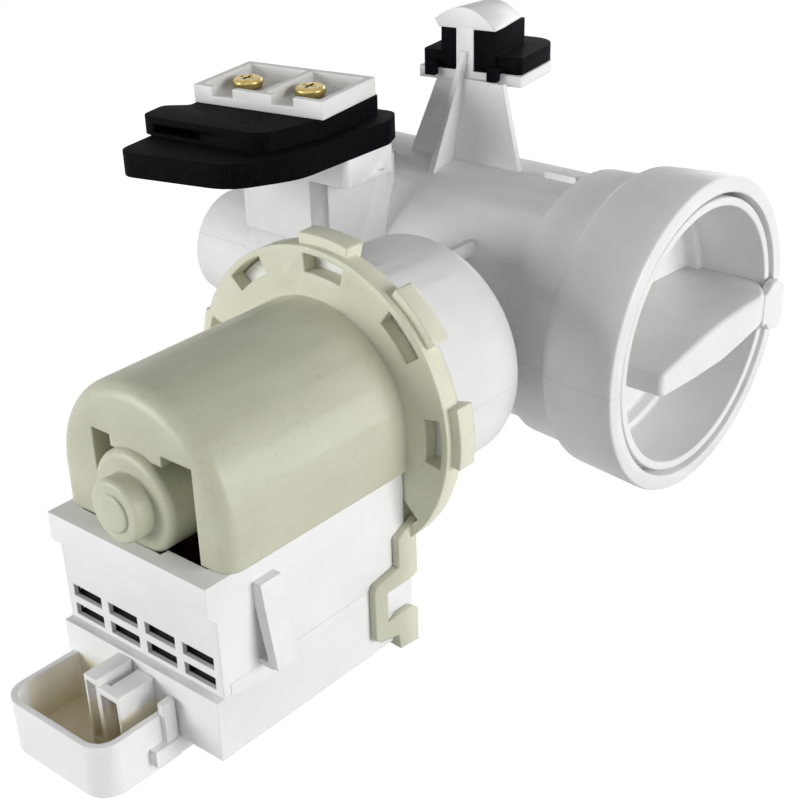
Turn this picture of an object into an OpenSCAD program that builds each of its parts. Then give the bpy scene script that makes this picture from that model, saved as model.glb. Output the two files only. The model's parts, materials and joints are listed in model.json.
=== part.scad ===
// Washer drain pump: filter tube, pump chamber, synchronous motor and two rubber feet.
// Shown feet up. +X runs to the filter mouth, -Y to the tail of the motor, +Z to the feet.
// The origin is the middle of the front foot's seat.

/* [Filter tube] */
// outer radius of the filter tube
tube_r = 35; // [31:0.5:40]
// wall thickness of the white housing
wall = 2.6; // [2:0.1:3.6]
// length of the filter chamber, from the mouth to its end wall
chamber_len = 118; // [112:1:140]
// outer radius of the socket's rim, which takes the filter cap
socket_r = 42.6; // [41:0.1:46]
// length of the socket
socket_len = 22; // [20:0.5:26]
// length of the thicker collar behind the socket
collar_len = 14; // [8:0.5:16]
// outer radius of the inlet spigot
inlet_r = 17; // [14:0.5:19]
// length of the inlet spigot beyond the end wall
inlet_len = 52; // [30:1:70]

/* [Filter cap] */
// radius of the cap's outer ring
cap_r = 36.8; // [34:0.1:38]
// thickness of the cap's ring and skirt
cap_wall = 2.3; // [1.8:0.1:3]
// depth of the cap's cup
cap_depth = 23.5; // [22:0.5:25]
// how far the cap comes out for one whole turn
thread_lead = 40; // [30:1:60]
// length of the filter cage behind the cap
cage_len = 56; // [30:1:64]
// number of bars round the filter cage
cage_bars = 14; // [8:1:18]

/* [Pump chamber] */
// distance of the motor's axis from the mouth
motor_x = 54.2; // [50:0.2:66]
// outer radius of the volute
volute_r = 31.2; // [30:0.2:34]
// distance of the volute's back wall from the tube's axis
volute_back = 45.5; // [44:0.5:52]
// depth of the volute, from its back wall to the motor's flange
volute_depth = 39.2; // [37:0.1:44]
// outer radius of the outlet spigot
outlet_r = 10.5; // [9:0.25:11]
// length of the outlet spigot from the motor's axis
outlet_len = 54; // [44:1:70]
// outer radius of the impeller
impeller_r = 22; // [18:0.5:24]
// number of impeller blades
blades = 6; // [4:1:8]

/* [Motor] */
// outer radius of the bayonet ring
ring_r = 40.6; // [40:0.1:44]
// thickness of the ring's face
ring_t = 4.1; // [3:0.1:6]
// angle between one bayonet tab and the next
tab_pitch = 42; // [40:0.5:45]
// outer radius of the rotor can
can_r = 12.9; // [12:0.1:14]
// wall thickness of the rotor can
can_wall = 1.3; // [1:0.1:1.6]
// outer radius of the arched motor cover
arch_r = 28; // [27:0.1:30]
// length of the arched cover beyond the ring
arch_len = 60; // [56:0.2:66]
// diameter of the rotor's shaft
shaft_d = 4; // [3:0.25:5]
// running clearance round the shaft
shaft_gap = 0.04; // [0.02:0.01:0.08]

/* [Coil box] */
// width of the coil box
box_w = 53.8; // [52:0.2:58]
// depth of the box's top below the motor's axis
box_top = 10; // [9:0.5:11]
// height of the coil box
box_h = 47.5; // [46:0.5:54]
// wall thickness of the coil box
box_wall = 1.8; // [1.4:0.1:2.4]
// number of windows in each row of the front panel
window_cols = 4; // [2:1:4]
// width of one window
window_w = 10.3; // [6:0.1:10.6]
// width of one coil's winding on its former
winding_t = 1.9; // [1.2:0.1:2]

/* [Feet] */
// turn of both feet about the vertical, against the tube
foot_yaw = 9; // [0:1:12]
// height of the front foot's seat above the tube's axis
seat_z = 59.7; // [56:0.1:66]
// width of the rear foot's clamp plate
plate_w = 42; // [38:0.5:44]
// depth of the clamp plate
plate_d = 26; // [24:0.5:28]
// height of the rubber between the seat and the clamp plate
rear_rubber_h = 11.5; // [10:0.5:14]
// diameter of the clamp screws' heads
screw_head_d = 8.6; // [7:0.1:9.5]

/* [Hidden] */
$fn = 96;
gap = 0.05;

white = [0.93, 0.93, 0.92];
ivory = [0.80, 0.80, 0.68];
black = [0.06, 0.06, 0.07];
steel = [0.62, 0.62, 0.64];
copper = [0.72, 0.38, 0.2];
brass = [0.85, 0.72, 0.35];
graphite = [0.2, 0.2, 0.21];

// place of the front foot's seat, from the mouth and the tube's axis
seat_x = -75.7;
seat_y = 6;

// filter tube and socket
bore_r = tube_r - wall;
mouth_bore_r = cap_r + 1.4;
socket_back_r = socket_r - 1.4;
rim_at = socket_len + 1;
thread_room = 20;
cup_floor = 2;
plug_start = -cap_depth - cup_floor;
inlet_y = -4.9;
inlet_z = -9;
inlet_collar_len = 30;

// filter cap
skirt_r = cap_r - 0.9;
cup_r = cap_r - cap_wall;
ridge = 1.7;
thread_len = 13;
thread_top = -5;
thread_turn = 360 * thread_len / thread_lead;
cap_front = 5;
plug_r = bore_r - 1.6;
seal_r = 1.5;
seal_x = plug_start - 3.6;
plug_len = 7;
plug_end = plug_start - plug_len;
cage_r = 28;

// pump chamber, measured from the tube's axis towards the tail
flange_z = volute_back + volute_depth;
volute_bore_r = volute_r - wall;
lug_angle = 16;
lug_r = ring_r + 0.7;
ring_z = flange_z + ring_t;
outlet_y = -(volute_r - outlet_r - 2.7);
outlet_z = volute_back + 15.5;
eye_r = 12;
hose_len = 20;
slot_count = floor(360 / tab_pitch);
tabs = [0, 1, 2, 4, 5, 6];
first_tab = 3;
first_slot = 0.5;
slot_angle = 19;
slot_in_r = 34.2;
slot_out_r = 38.9;

// motor, measured like the pump chamber
can_bore_r = can_r - can_wall;
plug_back = flange_z - 12;
can_end = ring_z + arch_len + 2.2;
arch_end = ring_z + arch_len;
nose_end = can_end + 5.3;
tip_end = nose_end + 2.8;
bearing_r = 6;
rear_bearing_z = can_end - 10;
magnet_z = ring_z + 10;
magnet_len = 26;
magnet_r = can_bore_r - 0.7;
hub_r = 5;
shaft_r = shaft_d / 2;
shaft_start = volute_back + 6;
shaft_end = can_end - 0.6;
recess_depth = 21.8;
recess_w = 38.2;
recess_top = 14.2;
shell = 2.5;
arm_in = can_r + 0.5;
arm_w = 7.2;
arm_top = 14;
stack_z = ring_z + 11;
stack_len = 22.4;

// coil box, measured like the motor; heights are below the motor's axis
box_back = ring_z + 0.3;
box_front = 155.2;
panel_set = 2.4;
panel = box_front - panel_set;
lid_seam = 38;
shelf_z = 40.9;
box_bottom = box_top + box_h;
lip_h = 7.7;
shroud_x = -7;
shroud_w = 36.3;
shroud_d = 23.1;
shroud_h = 14.8;
shroud_low = 64;
shroud_t = 1.6;
former_top = 13;
former_bottom = box_bottom - box_wall - 9.4;
former_t = 0.8;

// rear foot
plate_x = -108.3;
plate_y = -39.2;
plate_t = 4.9;
plate_floor = 1.4;
plate_shift = -0.5;
plate_front = -12.5;
rear_seat_z = tube_r + 9;
flange_h = 6.5;
screw_x = [-13.3, 7.4];
screw_y = 1.2;
pedestal_y = -43.5;
pedestal_x = -128;
pedestal_right = -83.3;
pedestal_drop = 17.6;

// Puts the mouth and the tube's axis in place from the front foot's seat.
module pump_frame() {
    translate([-seat_x, -seat_y, -seat_z]) children();
}

// Local Z runs along the filter tube, towards the mouth.
module along_tube(at = 0) {
    translate([at, 0, 0]) rotate([0, 90, 0]) children();
}

// Local Z runs along the motor's axis, away from the tube. Local X and Y are X and Z.
module along_motor(at = 0) {
    translate([-motor_x, -at, 0]) rotate([90, 0, 0]) children();
}

// Turned frame of the front foot, with its origin above the tube's axis.
module at_front_foot() {
    translate([seat_x, seat_y, 0]) rotate(foot_yaw) children();
}

// Turned frame of the rear foot, in the middle of its clamp plate.
module at_rear_foot() {
    translate([plate_x, plate_y, 0]) rotate(foot_yaw) children();
}

// Cylinder with both end edges rounded.
module round_ended(r, h, e) {
    rotate_extrude() polygon(concat([[0, 0]],
        [for (a = [0:15:90]) [r - e + e * sin(a), e - e * cos(a)]],
        [for (a = [0:15:90]) [r - e + e * cos(a), h - e + e * sin(a)]], [[0, h]]));
}

// Flat ring.
module ring(r_out, r_in, h) {
    difference() {
        cylinder(r = r_out, h = h);
        translate([0, 0, -1]) cylinder(r = r_in, h = h + 2);
    }
}

// Part of a ring, from one angle to another.
module sector(r_out, r_in, h, from, to) {
    rotate([0, 0, from]) rotate_extrude(angle = to - from)
        translate([r_in, 0]) square([r_out - r_in, h]);
}

// Plate with four corners of their own radius, given from the back left round to the front left.
module corner_plate(x0, x1, y0, y1, h, radii) {
    xs = [x0, x1, x1, x0];
    ys = [y1, y1, y0, y0];
    linear_extrude(h) polygon([for (i = [0:3]) for (a = [0:15:90])
        [xs[i] + (i == 0 || i == 3 ? 1 : -1) * radii[i] + radii[i] * cos(180 - 90 * i - a),
            ys[i] + (i < 2 ? -1 : 1) * radii[i] + radii[i] * sin(180 - 90 * i - a)]]);
}

// Points of the arc that rounds the corner p between its neighbours a and b.
function corner_arc(a, p, b, r, n = 6) =
    let (u = (a - p) / norm(a - p), v = (b - p) / norm(b - p), half = acos(u * v) / 2,
        middle = p + (u + v) / norm(u + v) * r / sin(half), sweep = 180 - 2 * half,
        from = p + u * r / tan(half) - middle, to = p + v * r / tan(half) - middle)
    [for (i = [0:n]) middle + (from * sin(sweep * (1 - i / n)) + to * sin(sweep * i / n)) / sin(sweep)];

// Plate over any outline, each corner rounded by its own radius.
module outline_plate(points, radii, h) {
    count = len(points);
    linear_extrude(h) polygon([for (i = [0:count - 1])
        each corner_arc(points[(i + count - 1) % count], points[i], points[(i + 1) % count], radii[i])]);
}

// Helical ridges of a thread, as slices of a ring turned step by step.
module thread_ridges(r_out, r_in, starts, width, phase) {
    for (i = [0:starts - 1])
        rotate([0, 0, phase + i * 360 / starts])
            linear_extrude(thread_len, twist = -thread_turn, slices = 14, $fn = 12)
                polygon(concat([for (a = [0:3]) [r_out * cos(a * width / 3), r_out * sin(a * width / 3)]],
                    [for (a = [3:-1:0]) [r_in * cos(a * width / 3), r_in * sin(a * width / 3)]]));
}

module tube_outside() {
    along_tube(-chamber_len) round_ended(tube_r, chamber_len - 2, 6);
    along_tube(-socket_len - collar_len) cylinder(r1 = tube_r + 2.3, r2 = tube_r + 3.2, h = collar_len + 1);
    // socket, flared a little towards its rounded rim
    along_tube(-socket_len) rotate_extrude() polygon([[0, 0], [socket_back_r - 3, 0], [socket_back_r - 1.4, 0.6],
        [socket_back_r - 0.3, 2], [socket_back_r, 3.6], [socket_r, rim_at - 1.3],
        [socket_r - 0.25, rim_at - 0.4], [socket_r - 0.9, rim_at], [0, rim_at]]);
    translate([0, inlet_y, inlet_z]) {
        along_tube(-chamber_len - inlet_len) cylinder(r = inlet_r, h = inlet_len + 8);
        along_tube(-chamber_len - inlet_collar_len) cylinder(r = inlet_r + 1.2, h = inlet_collar_len + 8);
    }
}

module volute_outside() {
    along_motor(volute_back) round_ended(volute_r, volute_depth, 4);
    along_motor(bore_r - 8) cylinder(r = eye_r + wall, h = volute_back - bore_r + 12);
    along_motor(flange_z - 4.2) cylinder(r = ring_r - 2.4, h = 4.2);
    along_motor(flange_z - 1.6) for (i = tabs)
        sector(lug_r, ring_r - 6, 1.3, first_tab + i * tab_pitch - lug_angle / 2,
            first_tab + i * tab_pitch + lug_angle / 2);
    along_motor(outlet_z) translate([0, outlet_y, 0]) rotate([0, -90, 0]) {
        cylinder(r = outlet_r, h = outlet_len);
        cylinder(r = outlet_r + 1, h = outlet_len - hose_len);
    }
    // small rib from the volute's back to the tube
    translate([-motor_x - 1, -volute_back - 1, 19.5]) cube([2, volute_back - 26, 4]);
}

// Web, gusset, post and plates that carry the front foot.
module front_post() {
    web_t = 1.8;
    web_front = -3.5;
    foot_x = seat_x - 1.2;
    under = seat_z - 2.9;
    translate([0, web_front + web_t, 0]) rotate([90, 0, 0]) linear_extrude(web_t)
        polygon([[foot_x - 18, tube_r - 2], [foot_x - 7, under + 1], [foot_x + 14.8, under + 1],
            [foot_x + 21, tube_r - 2]]);
    // leaning gussets before and behind the web
    translate([seat_x - 1.2, 0, seat_z]) rotate([0, 8, 0]) translate([0, 0, -seat_z]) rotate([90, 0, 90])
        linear_extrude(1.8) polygon([[-13, tube_r - 4], [web_front, seat_z + 5.4], [web_front + 1, seat_z + 5.4],
            [web_front + 1, under + 1], [12, under + 1], [7, tube_r - 2]]);
    at_front_foot() {
        translate([0, 0, under]) corner_plate(-15.2, 16.2, -9, 14, 2.9, [6, 6, 0.6, 0.6]);
        translate([-3.4, -9, seat_z - 1]) cube([5.2, 16, 12.5]);
        domed_head();
    }
}

// Head over the front rubber: arched across, and lower towards the back.
module domed_head() {
    head_z = seat_z + 11.1;
    fall = 5;
    intersection() {
        translate([-12, -8.9, head_z]) cube([24, 17.9, 6]);
        translate([0, 10, head_z - 1.7]) rotate([90 - fall, 0, 0]) linear_extrude(21)
            polygon(concat([[-8.6, -3], [-8.9, 0]], [for (x = [-10.1:1.15:8.3])
                [x, 5.6 - (x < -1.5 ? 0.048 : 0.053) * (x + 1.5) * (x + 1.5)]], [[8.3, -3]]));
    }
}

// Hollow column, front wall and seat that carry the rear foot.
module pedestal_outside() {
    top = rear_seat_z;
    // seat block
    translate([0, 0, top - 8])
        corner_plate(pedestal_x, pedestal_right, pedestal_y, -24.5, 8, [0.5, 0.5, 2.5, 0.5]);
    // right-hand column with its slanting face
    translate([0, 0, -4]) linear_extrude(top - 2) polygon([[-90.5, pedestal_y], [-82.4, -29.4], [-90, -16],
        [-98, -16], [-98, -34], [-93, -38.5]]);
    // front wall to the left of the groove
    translate([-122.7, pedestal_y, pedestal_drop]) cube([25.7, 2.6, top - pedestal_drop - 1]);
    // left-hand wall and cross ribs
    for (x = [-124, -110, -99.6])
        translate([x, pedestal_y + 1, pedestal_drop]) cube([2.6, -pedestal_y - 8, top - pedestal_drop - 9]);
    // rib down to the inlet spigot
    translate([-124, -22, inlet_z]) cube([2.6, 14, pedestal_drop]);
}

module pump_housing() {
    color(white) pump_frame() {
        difference() {
            union() {
                tube_outside();
                volute_outside();
                front_post();
                pedestal_outside();
                // short rib on top of the tube
                translate([-48, -3, tube_r - 1]) cube([10, 1.6, 2.8]);
            }
            // filter chamber, socket and spigot bores
            along_tube(-chamber_len + wall) cylinder(r = bore_r, h = chamber_len);
            along_tube(-thread_room) cylinder(r = mouth_bore_r, h = thread_room + 2);
            along_tube(plug_start - 0.6) cylinder(r = skirt_r + 0.5, h = thread_room);
            translate([0, inlet_y, inlet_z]) along_tube(-chamber_len - inlet_len - 1)
                cylinder(r = inlet_r - wall, h = inlet_len + 8);
            // pump chamber, its eye and the outlet
            along_motor(volute_back + wall) cylinder(r = volute_bore_r, h = volute_depth);
            along_motor(bore_r - 9) cylinder(r = eye_r, h = volute_back - bore_r + 12);
            along_motor(outlet_z) translate([0, outlet_y, 0]) rotate([0, -90, 0])
                cylinder(r = outlet_r - 2.4, h = outlet_len + 1);
            // pilot holes for the clamp screws
            at_rear_foot() for (x = screw_x)
                translate([x, screw_y, rear_seat_z - 16]) cylinder(r = 1.9, h = 17);
        }
        // thread in the socket
        along_tube(thread_top - thread_len)
            thread_ridges(mouth_bore_r + 0.4, mouth_bore_r - ridge, 2, 50, 60);
    }
}

module filter_cap() {
    color(white) pump_frame() {
        difference() {
            union() {
                along_tube(plug_start) cylinder(r = skirt_r, h = -plug_start);
                along_tube(-3) cylinder(r = cap_r, h = 3.4);
                along_tube(plug_end) cylinder(r = plug_r, h = plug_len + 1);
                along_tube(thread_top - thread_len)
                    thread_ridges(skirt_r + ridge, skirt_r - 0.4, 2, 50, 155);
            }
            along_tube(-cap_depth) cylinder(r = cup_r - 2, h = cap_depth + 2);
            along_tube(-cap_depth + 4) cylinder(r = cup_r, h = cap_depth);
            // groove for the seal
            along_tube(seal_x - seal_r) ring(plug_r + 1, plug_r - 1.5, 2 * seal_r);
            // sockets for the cage's hooks
            along_tube(plug_end - 1) cylinder(r = 20, h = 5.5);
        }
        wing();
        pointer();
    }
}

// Grip across the cup: full width at the rim, narrower and lens shaped at its front.
module wing() {
    peak = 5;
    intersection() {
        along_tube(-cap_depth) cylinder(r = cup_r + 0.3, h = cap_depth + cap_front + 1);
        translate([0, 0, -1.9]) rotate([3.4, 0, 0]) intersection() {
            translate([0, 0, -9]) linear_extrude(18) polygon([[-cap_depth - 1, -cup_r - 1],
                [-2, -cup_r - 1], [cap_front, -23.5], [cap_front, 26], [-1, cup_r + 1], [-cap_depth - 1, cup_r + 1]]);
            translate([-cap_depth - 1, 0, 0]) rotate([90, 0, 90]) linear_extrude(cap_depth + cap_front + 1)
                polygon(concat([for (y = [-36:4:36]) [y, grip_half(y - peak)]],
                    [for (y = [36:-4:-36]) [y, -grip_half(y - peak)]]));
        }
    }
}

// Half the grip's thickness, from its thickest place outwards.
function grip_half(y) = 6.7 - (y < 0 ? 0.0037 : 0.0062) * y * y;

// Pointer tab that reaches over the socket's rim.
module pointer() {
    over = rim_at - socket_len + gap;
    translate([over, 0, -2]) rotate([90, 0, 90]) linear_extrude(2.8) difference() {
        polygon([[29, -4.6], [31.3, -4.8], [33, -7], [38, -8.2], [39.4, -7.2], [40, -3], [39.8, 3.5], [38.8, 5.7],
            [35.6, 7.1], [33, 6.7], [31.5, 5.4], [29, 4.4]]);
        translate([38.4, -0.9]) square([2, 0.9]);
    }
    // neck from the cap's ring
    translate([-0.5, 29.5, -6.2]) cube([over + 1, cap_r - 30.6, 8]);
}

module cap_seal() {
    color(black) pump_frame() along_tube(seal_x)
        rotate_extrude() translate([bore_r - seal_r - gap, 0]) circle(r = seal_r, $fn = 32);
}

module filter_cage() {
    color(white) pump_frame() along_tube(plug_end - gap - cage_len) {
        ring(cage_r, cage_r - 3, 3);
        translate([0, 0, cage_len / 2]) ring(cage_r, cage_r - 2.4, 2.4);
        translate([0, 0, cage_len - 3]) ring(cage_r, 16, 3);
        translate([0, 0, cage_len - 1]) ring(20 - gap, 16, 5);
        for (i = [0:cage_bars - 1]) rotate([0, 0, 360 * i / cage_bars])
            translate([cage_r - 2.4, -1.1, 1]) cube([2.3, 2.2, cage_len - 2]);
    }
}

// Cross-section of the arched cover, down to the lid.
module arch_section(r, down) {
    intersection() {
        circle(r = r);
        translate([-r - 1, 0]) square([2 * r + 2, r + 1]);
    }
    translate([-r, -down]) square([2 * r, down]);
}

// Ring whose hooks turn in behind the lugs of the white housing.
module bayonet_ring() {
    skirt = 1.4;
    hook = 3.2;
    difference() {
        union() {
            translate([0, 0, flange_z - skirt]) cylinder(r = ring_r, h = ring_t + skirt);
            for (i = tabs)
                translate([0, 0, flange_z - hook]) sector(lug_r + 1.9, ring_r - 4, ring_t + 1.4,
                    first_tab + i * tab_pitch - 10.5, first_tab + i * tab_pitch + 10.5);
        }
        // seat of the housing's flange, with a pocket for each lug
        translate([0, 0, flange_z - 5]) cylinder(r = ring_r - 2.2, h = 5 + gap);
        for (i = tabs)
            translate([0, 0, flange_z - 1.7]) sector(lug_r + 0.2, ring_r - 5, 1.55,
                first_tab + i * tab_pitch - 8.6, first_tab + i * tab_pitch + 8.6);
        for (i = [0:slot_count - 1])
            translate([0, 0, flange_z - 1]) sector(slot_out_r, slot_in_r, ring_t + 2,
                first_slot + i * tab_pitch - slot_angle / 2, first_slot + i * tab_pitch + slot_angle / 2);
        // hollow beside the coil box, above each clip
        for (side = [-1, 1]) mirror([side < 0 ? 1 : 0, 0, 0]) translate([0, 0, ring_z - 3.2]) linear_extrude(4)
            polygon([[26.3, -17.8], [31.2, -22.6], [26.3, -27]]);
    }
}

// Plug that closes the pump chamber and carries the front bearing.
module chamber_plug() {
    difference() {
        translate([0, 0, plug_back]) cylinder(r = volute_bore_r - 0.2, h = flange_z - plug_back + 1);
        translate([0, 0, flange_z - 7.1]) ring(volute_bore_r + 1, volute_bore_r - 2.8, 2.8);
        translate([0, 0, plug_back + 2.6]) ring(volute_bore_r - 5, can_r, 30);
    }
}

// Arched cover's outside, its end edge rounded over the roof and down both legs.
module arch_outside() {
    e = 4.6;
    depth = arch_len + 6;
    translate([0, 0, ring_z - 6]) difference() {
        round_ended(arch_r, depth, e);
        translate([-arch_r - 1, -arch_r - 1, -1]) cube([2 * arch_r + 2, arch_r + 1, depth + 2]);
    }
    translate([0, 0, ring_z - 1]) rotate([90, 0, 0])
        corner_plate(-arch_r, arch_r, 0, arch_len + 1, box_top - gap, [e, e, 0.5, 0.5]);
}

module arch_cover() {
    difference() {
        arch_outside();
        translate([0, 0, ring_z - 7]) cylinder(r = arch_r + 1, h = 6.2);
        translate([0, 0, ring_z - 2]) linear_extrude(arch_len - 1) arch_section(arch_r - shell, box_top + 1);
    }
    // walls round the recess at the tail
    translate([-recess_w / 2 - 2, -box_top + gap, arch_end - recess_depth - 2])
        cube([recess_w + 4, recess_top + box_top - gap + 2, recess_depth + 1]);
}

module motor_housing() {
    color(ivory) pump_frame() along_motor() {
        difference() {
            union() {
                bayonet_ring();
                chamber_plug();
                arch_cover();
            }
            // recess that shows the end of the can
            translate([-recess_w / 2, -box_top - 1, arch_end - recess_depth])
                cube([recess_w, recess_top + box_top + 1, recess_depth + 1]);
            // bore for the rotor
            translate([0, 0, plug_back - 1]) cylinder(r = can_bore_r, h = flange_z);
        }
        rotor_can();
        // rib between the roof of the recess and the can
        translate([-7.2, can_r - 1.5, arch_end - recess_depth])
            cube([16.4, recess_top - can_r + 2, recess_depth - 1.6]);
        for (side = [-1, 1]) rear_clip(side);
    }
}

module rotor_can() {
    difference() {
        union() {
            translate([0, 0, plug_back]) cylinder(r = can_r, h = 30);
            translate([0, 0, plug_back + 20]) round_ended(can_r, can_end - plug_back - 20, 2);
            round_end_at(nose_end, 7.9, 10);
            round_end_at(tip_end, 3.4, 6);
        }
        translate([0, 0, plug_back - 1]) cylinder(r = can_bore_r, h = rear_bearing_z - plug_back - 3);
        translate([0, 0, plug_back]) cylinder(r = bearing_r, h = can_end - plug_back);
    }
}

// Short round-ended boss whose outer end lies at z.
module round_end_at(z, r, h) {
    translate([0, 0, z - h]) round_ended(r, h, 1.4);
}

// Strap from the ring with an open loop that snaps over a catch of the coil box.
// Its outline is drawn as height and depth, and its foot reaches under the box.
module rear_clip(side) {
    inner = box_w / 2 + 0.1;
    strap_back = flange_z + 2;
    mirror([side < 0 ? 1 : 0, 0, 0]) {
        translate([inner, 0, strap_back]) rotate([90, 0, 90]) linear_extrude(2) polygon([
            [-23.5, 0], [-39.2, 0], [-40.1, 1.6], [-40.1, 11.5], [-48.9, 11.5], [-48.9, 2.2], [-50.4, 0],
            [-60.2, 0], [-59.4, 7], [-54.9, 7.6], [-53.4, 14.6], [-52, 16.2], [-37.6, 16.2], [-36.3, 15.2],
            [-35, 7], [-26.8, 7]]);
        translate([inner - 6, -60.2, strap_back + 0.4]) cube([6.5, 60.1 - box_bottom, 5.6]);
    }
}

module chamber_seal() {
    color(black) pump_frame() along_motor(flange_z - 5.7)
        rotate_extrude() translate([volute_bore_r - 1.35 - gap, 0]) circle(r = 1.35, $fn = 32);
}

module rotor_magnet() {
    hub_start = plug_back + 10.4;
    color(graphite) pump_frame() along_motor() difference() {
        union() {
            translate([0, 0, magnet_z]) round_ended(magnet_r, magnet_len, 0.6);
            translate([0, 0, hub_start]) cylinder(r = hub_r, h = rear_bearing_z - 1.4 - hub_start);
        }
        cylinder(r = shaft_r, h = can_end);
    }
}

module rotor_shaft() {
    color(steel) pump_frame() along_motor(shaft_start) cylinder(r = shaft_r, h = shaft_end - shaft_start);
}

// Dog on the rotor that pushes the impeller's dog round.
module rotor_driver() {
    color(white) pump_frame() along_motor(volute_back + 20.3) difference() {
        union() {
            cylinder(r = 4.6, h = 5.4);
            sector(8.4, 3, 4, 0, 50);
        }
        translate([0, 0, -1]) cylinder(r = shaft_r, h = 8);
    }
}

module bearing_bush(r, h) {
    difference() {
        cylinder(r = r, h = h);
        translate([0, 0, -1]) cylinder(r = shaft_r + shaft_gap, h = h + 2);
    }
}

module front_bearing() {
    color(graphite) pump_frame() along_motor(plug_back + 1) bearing_bush(bearing_r - 0.5, 8);
}

module rear_bearing() {
    color(graphite) pump_frame() along_motor(rear_bearing_z) bearing_bush(bearing_r, can_end - rear_bearing_z - 0.4);
}

module bearing_carrier() {
    color(black) pump_frame() along_motor(plug_back + 1) ring(can_bore_r, bearing_r - 0.5, 8);
}

module thrust_washers() {
    color(steel) pump_frame() along_motor() {
        translate([0, 0, plug_back + 9.3]) bearing_bush(4, 1);
        translate([0, 0, rear_bearing_z - 1.3]) bearing_bush(4, 1);
    }
}

// Blades on a disc, with a hollow hub that hides the driving dogs.
module impeller() {
    color(white) pump_frame() along_motor(volute_back + 8) difference() {
        union() {
            translate([0, 0, 11]) cylinder(r = impeller_r, h = 1.6);
            cylinder(r = 10.8, h = 18.4);
            for (i = [0:blades - 1]) rotate([0, 0, 360 * i / blades])
                translate([5, -0.9, 0]) cube([impeller_r - 5.4, 1.8, 12]);
        }
        translate([0, 0, -1]) cylinder(r = shaft_r + shaft_gap, h = 30);
        translate([0, 0, 12]) difference() {
            cylinder(r = 8.8, h = 8);
            sector(9, 5.2, 4.1, 180, 230);
        }
    }
}

module impeller_cap() {
    color(white) pump_frame() along_motor(volute_back + 6.5) difference() {
        cylinder(r = 4.2, h = 1.3);
        translate([0, 0, -1]) cylinder(r = shaft_r, h = 4);
    }
}

// U-shaped stack of laminations: an arm each side of the can and a yoke in the box.
module stator_core() {
    color(steel) pump_frame() along_motor(stack_z) linear_extrude(stack_len) difference() {
        union() {
            for (side = [-1, 1]) translate([side * (arm_in + arm_w / 2) - arm_w / 2, -box_bottom + box_wall + 0.6])
                square([arm_w, box_bottom - box_wall - 0.6 + arm_top]);
            translate([-arm_in - arm_w, -box_bottom + box_wall + 0.6]) square([2 * (arm_in + arm_w), 8.6]);
            for (side = [-1, 1]) translate([side * (arm_in - 1) - 3, -9]) square([6, 18]);
        }
        circle(r = can_r + 0.3);
    }
}

module core_rivets() {
    color(steel) pump_frame() along_motor(stack_z) for (x = [-arm_in - arm_w / 2, arm_in + arm_w / 2])
        for (end = [0, 1]) translate([x, -box_bottom + box_wall + 4.9, end * (stack_len + 1.05) - 1.05])
            cylinder(r = 1.8, h = 1);
}

module coil_former(side) {
    x = side * (arm_in + arm_w / 2);
    inner_w = arm_w + 0.3;
    outer_w = inner_w + 2 * former_t;
    flange_w = outer_w + 2 * winding_t + 0.6;
    difference() {
        union() {
            translate([x - outer_w / 2, -former_bottom, stack_z - 1]) cube([outer_w, former_bottom - former_top, stack_len + 2]);
            for (y = [-former_bottom, -former_top - 1])
                translate([x - flange_w / 2, y, stack_z - 4]) cube([flange_w, 1, stack_len + 8]);
        }
        translate([x - inner_w / 2, -former_bottom - 1, stack_z - 0.15]) cube([inner_w, former_bottom, stack_len + 0.3]);
    }
}

module coil_formers() {
    color(white) pump_frame() along_motor() for (side = [-1, 1]) coil_former(side);
}

module coil_windings() {
    inner_w = arm_w + 0.3 + 2 * former_t;
    h = former_bottom - former_top - 2;
    color(copper) pump_frame() along_motor() for (side = [-1, 1]) {
        x = side * (arm_in + arm_w / 2);
        translate([x, -former_bottom + 1, stack_z + stack_len / 2]) rotate([-90, 0, 0]) difference() {
            corner_plate(-inner_w / 2 - winding_t, inner_w / 2 + winding_t,
                -stack_len / 2 - 1 - winding_t, stack_len / 2 + 1 + winding_t, h, [2, 2, 2, 2]);
            translate([-inner_w / 2 - gap, -stack_len / 2 - 1 - gap, -1])
                cube([inner_w + 2 * gap, stack_len + 2 + 2 * gap, h + 2]);
        }
    }
}

module thermal_protector() {
    color(black) pump_frame() along_motor() translate([-4.5, -36, stack_z + 6]) {
        cube([9, 16, 4]);
        for (x = [2, 6]) translate([x, -10, 1.6]) cube([1, 10.5, 0.8]);
    }
}

module coil_box_lid() {
    inner = box_w - 2 * box_wall;
    color(white) pump_frame() along_motor() difference() {
        union() {
            difference() {
                union() {
                    translate([-box_w / 2, -lid_seam, box_back]) cube([box_w, lid_seam - box_top, panel - box_back]);
                    translate([-box_w / 2, -shelf_z + gap, panel - box_wall - 0.4]) cube([box_w, 10, box_wall + 0.4]);
                    // lip along the top of the front, chamfered below
                    translate([-box_w / 2, 0, panel]) rotate([90, 0, 90]) linear_extrude(box_w)
                        polygon([[-box_top, -1], [-box_top, panel_set], [-box_top - lip_h, panel_set],
                            [-box_top - lip_h - panel_set, 0], [-box_top - lip_h - panel_set, -1]]);
                }
                translate([-inner / 2, -shelf_z - 1, box_back + box_wall])
                    cube([inner, shelf_z + 1 - box_top - box_wall, panel - box_back - 2 * box_wall]);
                // opening for the poles and the can
                translate([-arm_in - arm_w - 0.8, -box_top - 4, ring_z + 6])
                    cube([2 * (arm_in + arm_w + 0.8), 6, can_end - ring_z - 8]);
                windows();
            }
            window_sills();
            side_wedges();
        }
        // keep clear of the can's end
        translate([0, 0, box_back - 1]) cylinder(r = can_r + 0.3, h = can_end - box_back + 1.3);
    }
}

// Two rows of windows low in the front panel.
module windows() {
    pitch = box_w / window_cols * 0.96;
    for (row = [0, 1]) for (i = [0:window_cols - 1])
        translate([(i - (window_cols - 1) / 2) * pitch - window_w / 2, -34 - row * 5.5, box_front - panel_set - 4])
            cube([window_w, 3.4, 6]);
}

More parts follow.
